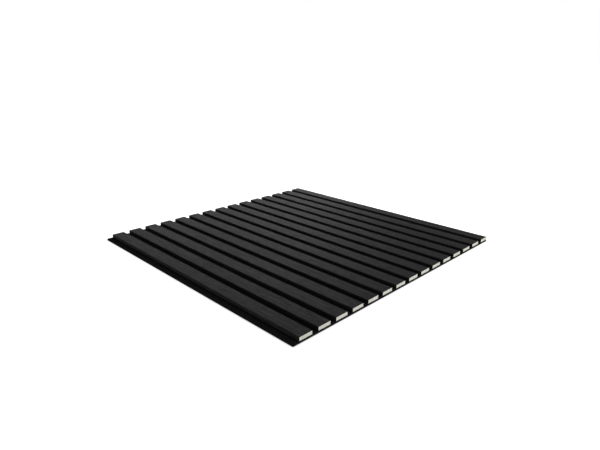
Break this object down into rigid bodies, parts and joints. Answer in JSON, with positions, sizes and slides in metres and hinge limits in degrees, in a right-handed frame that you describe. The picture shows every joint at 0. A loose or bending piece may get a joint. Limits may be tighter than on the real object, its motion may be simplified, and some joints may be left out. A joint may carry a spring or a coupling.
{
  "type": "acoustic slat wall panel",
  "caption": "Square acoustic wall panel: foil-wrapped black slats side by side on a thin black felt board, with a bare felt lip along one side.",
  "frame": {"origin": "middle of the felt board's back face, the face that goes against the wall", "axes": "+Z out of the wall face towards the room, slats run along Y, bare felt lip on the -X side, cut slat ends of the picture on the -Y side"},
  "size_m": [0.6, 0.6, 0.01],
  "materials": {
    "black_felt": "matte, needled",
    "pale_fibreboard": "saw cut, bare",
    "black_foil": "matte decor foil with a faint wood grain along the slat",
    "bright_wire": "zinc coated"
  },
  "bodies": {
    "root": {"felt_board": "black_felt", "slat_core_01": "pale_fibreboard", "slat_core_02": "pale_fibreboard", "slat_core_03": "pale_fibreboard", "slat_core_04": "pale_fibreboard", "slat_core_05": "pale_fibreboard", "slat_core_06": "pale_fibreboard", "slat_core_07": "pale_fibreboard", "slat_core_08": "pale_fibreboard", "slat_core_09": "pale_fibreboard", "slat_core_10": "pale_fibreboard", "slat_core_11": "pale_fibreboard", "slat_core_12": "pale_fibreboard", "slat_core_13": "pale_fibreboard", "slat_core_14": "pale_fibreboard", "slat_core_15": "pale_fibreboard", "slat_foil_01": "black_foil", "slat_foil_02": "black_foil", "slat_foil_03": "black_foil", "slat_foil_04": "black_foil", "slat_foil_05": "black_foil", "slat_foil_06": "black_foil", "slat_foil_07": "black_foil", "slat_foil_08": "black_foil", "slat_foil_09": "black_foil", "slat_foil_10": "black_foil", "slat_foil_11": "black_foil", "slat_foil_12": "black_foil", "slat_foil_13": "black_foil", "slat_foil_14": "black_foil", "slat_foil_15": "black_foil", "staples": "bright_wire"}
  },
  "joints": []
}
